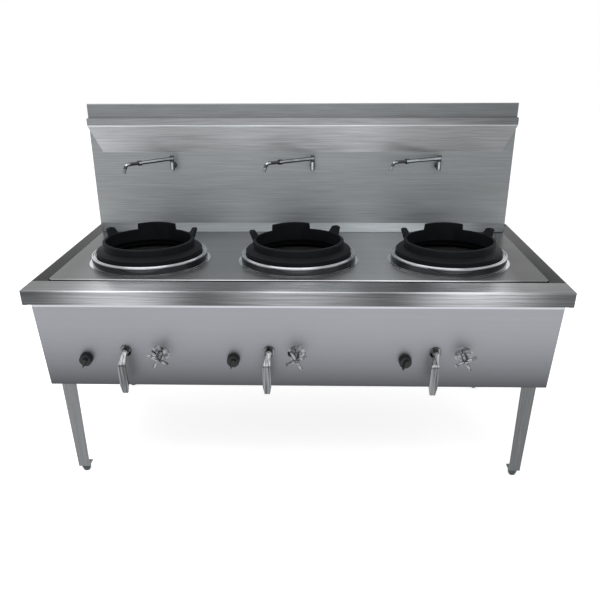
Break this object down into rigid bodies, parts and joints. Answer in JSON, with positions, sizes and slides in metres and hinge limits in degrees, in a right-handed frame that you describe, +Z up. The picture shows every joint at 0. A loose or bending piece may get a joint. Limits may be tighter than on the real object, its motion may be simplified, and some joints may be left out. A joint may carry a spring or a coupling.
{
  "type": "wok range",
  "caption": "Free-standing stainless wok range with splashback, swing faucets, cast-iron wok rests, knee levers and a water gutter round its deck.",
  "frame": {"origin": "on the floor, at the middle of the whole box", "axes": "+X to the right seen from the cook, -Y towards the cook, +Z up"},
  "size_m": [1.8, 0.954, 1.2735],
  "materials": {
    "stainless": "brushed",
    "chrome": "polished",
    "foot_steel": "satin",
    "cast_iron": "rough black",
    "pot_iron": "rough",
    "knob_black": "matte",
    "grip_black": "matte",
    "brass": "turned",
    "copper_tube": "drawn",
    "pipe_steel": "satin"
  },
  "bodies": {
    "range_body": {"top_frame": "stainless", "deck_plate": "stainless", "front_panel": "stainless", "side_panel_left": "stainless", "side_panel_right": "stainless", "rear_panel": "stainless", "splash_sheet": "stainless", "splash_cover": "stainless", "splash_ledge": "stainless", "gas_manifold": "pipe_steel", "pilot_valves": "brass", "pilot_tubes": "copper_tube", "water_pipes": "copper_tube", "leg_front_left": "stainless", "leg_front_right": "stainless", "leg_rear_left": "stainless", "leg_rear_right": "stainless", "chamber_ring_1": "chrome", "chamber_ring_2": "chrome", "chamber_ring_3": "chrome", "burner_pot_1": "pot_iron", "burner_pot_2": "pot_iron", "burner_pot_3": "pot_iron", "jet_burner_1": "pot_iron", "jet_burner_2": "pot_iron", "jet_burner_3": "pot_iron", "gas_cock_1": "chrome", "gas_cock_2": "chrome", "gas_cock_3": "chrome", "water_tap_1": "chrome", "water_tap_2": "chrome", "water_tap_3": "chrome", "faucet_post_1": "chrome", "faucet_post_2": "chrome", "faucet_post_3": "chrome"},
    "wok_rest_1": {"wok_rest_1": "cast_iron"},
    "knee_lever_1": {"knee_lever_1": "chrome"},
    "push_collar_1": {"push_collar_1": "brass"},
    "pilot_knob_1": {"pilot_knob_1": "knob_black"},
    "cross_handle_1": {"cross_handle_1": "chrome"},
    "swing_arm_1": {"faucet_arm_1": "chrome", "faucet_grip_1": "grip_black"},
    "wok_rest_2": {"wok_rest_2": "cast_iron"},
    "knee_lever_2": {"knee_lever_2": "chrome"},
    "push_collar_2": {"push_collar_2": "brass"},
    "pilot_knob_2": {"pilot_knob_2": "knob_black"},
    "cross_handle_2": {"cross_handle_2": "chrome"},
    "swing_arm_2": {"faucet_arm_2": "chrome", "faucet_grip_2": "grip_black"},
    "wok_rest_3": {"wok_rest_3": "cast_iron"},
    "knee_lever_3": {"knee_lever_3": "chrome"},
    "push_collar_3": {"push_collar_3": "brass"},
    "pilot_knob_3": {"pilot_knob_3": "knob_black"},
    "cross_handle_3": {"cross_handle_3": "chrome"},
    "swing_arm_3": {"faucet_arm_3": "chrome", "faucet_grip_3": "grip_black"},
    "foot_front_left": {"foot_front_left": "foot_steel"},
    "foot_front_right": {"foot_front_right": "foot_steel"},
    "foot_rear_left": {"foot_rear_left": "foot_steel"},
    "foot_rear_right": {"foot_rear_right": "foot_steel"}
  },
  "joints": [
    {"name": "wok_rest_1_lift", "type": "slide", "parent": "range_body", "child": "wok_rest_1", "axis": [0, 0, 1], "range_m": [0, 0.15]},
    {"name": "knee_lever_1_swing", "type": "hinge", "parent": "range_body", "child": "knee_lever_1", "pos_m": [-0.591, -0.41679, 0.5445], "axis": [0, 0.9938, 0.1113], "range_deg": [0, 90]},
    {"name": "pilot_knob_1_push", "type": "slide", "parent": "range_body", "child": "push_collar_1", "axis": [0, 0.9938, 0.1113], "range_m": [0, 0.004], "stiffness_N_per_m": 800},
    {"name": "pilot_knob_1_turn", "type": "hinge", "parent": "push_collar_1", "child": "pilot_knob_1", "pos_m": [-0.733, -0.41337, 0.514], "axis": [0, 0.9938, 0.1113], "range_deg": [0, 90]},
    {"name": "cross_handle_1_turn", "type": "hinge", "parent": "range_body", "child": "cross_handle_1", "pos_m": [-0.471, -0.41589, 0.5365], "axis": [0, 0.9938, 0.1113], "range_deg": [0, 600]},
    {"name": "faucet_1_swing", "type": "hinge", "parent": "range_body", "child": "swing_arm_1", "pos_m": [-0.519, 0.289, 1.075], "axis": [0, 0, 1], "range_deg": [-43, 127]},
    {"name": "wok_rest_2_lift", "type": "slide", "parent": "range_body", "child": "wok_rest_2", "axis": [0, 0, 1], "range_m": [0, 0.15]},
    {"name": "knee_lever_2_swing", "type": "hinge", "parent": "range_body", "child": "knee_lever_2", "pos_m": [-0.094, -0.41679, 0.5445], "axis": [0, 0.9938, 0.1113], "range_deg": [0, 90]},
    {"name": "pilot_knob_2_push", "type": "slide", "parent": "range_body", "child": "push_collar_2", "axis": [0, 0.9938, 0.1113], "range_m": [0, 0.004], "stiffness_N_per_m": 800},
    {"name": "pilot_knob_2_turn", "type": "hinge", "parent": "push_collar_2", "child": "pilot_knob_2", "pos_m": [-0.218, -0.41337, 0.514], "axis": [0, 0.9938, 0.1113], "range_deg": [0, 90]},
    {"name": "cross_handle_2_turn", "type": "hinge", "parent": "range_body", "child": "cross_handle_2", "pos_m": [0.0015, -0.41589, 0.5365], "axis": [0, 0.9938, 0.1113], "range_deg": [0, 600]},
    {"name": "faucet_2_swing", "type": "hinge", "parent": "range_body", "child": "swing_arm_2", "pos_m": [0.0468, 0.289, 1.075], "axis": [0, 0, 1], "range_deg": [-31, 139]},
    {"name": "wok_rest_3_lift", "type": "slide", "parent": "range_body", "child": "wok_rest_3", "axis": [0, 0, 1], "range_m": [0, 0.15]},
    {"name": "knee_lever_3_swing", "type": "hinge", "parent": "range_body", "child": "knee_lever_3", "pos_m": [0.478, -0.41679, 0.5445], "axis": [0, 0.9938, 0.1113], "range_deg": [0, 90]},
    {"name": "pilot_knob_3_push", "type": "slide", "parent": "range_body", "child": "push_collar_3", "axis": [0, 0.9938, 0.1113], "range_m": [0, 0.004], "stiffness_N_per_m": 800},
    {"name": "pilot_knob_3_turn", "type": "hinge", "parent": "push_collar_3", "child": "pilot_knob_3", "pos_m": [0.376, -0.41337, 0.514], "axis": [0, 0.9938, 0.1113], "range_deg": [0, 90]},
    {"name": "cross_handle_3_turn", "type": "hinge", "parent": "range_body", "child": "cross_handle_3", "pos_m": [0.575, -0.41589, 0.5365], "axis": [0, 0.9938, 0.1113], "range_deg": [0, 600]},
    {"name": "faucet_3_swing", "type": "hinge", "parent": "range_body", "child": "swing_arm_3", "pos_m": [0.5524, 0.289, 1.075], "axis": [0, 0, 1], "range_deg": [-23, 147]},
    {"name": "foot_front_left_turn", "type": "hinge", "parent": "range_body", "child": "foot_front_left", "pos_m": [-0.8325, -0.3435, 0.028], "axis": [0, 0, 1], "range_deg": [-720, 720]},
    {"name": "foot_front_right_turn", "type": "hinge", "parent": "range_body", "child": "foot_front_right", "pos_m": [0.8325, -0.3435, 0.028], "axis": [0, 0, 1], "range_deg": [-720, 720]},
    {"name": "foot_rear_left_turn", "type": "hinge", "parent": "range_body", "child": "foot_rear_left", "pos_m": [-0.8325, 0.4025, 0.028], "axis": [0, 0, 1], "range_deg": [-720, 720]},
    {"name": "foot_rear_right_turn", "type": "hinge", "parent": "range_body", "child": "foot_rear_right", "pos_m": [0.8325, 0.4025, 0.028], "axis": [0, 0, 1], "range_deg": [-720, 720]}
  ]
}
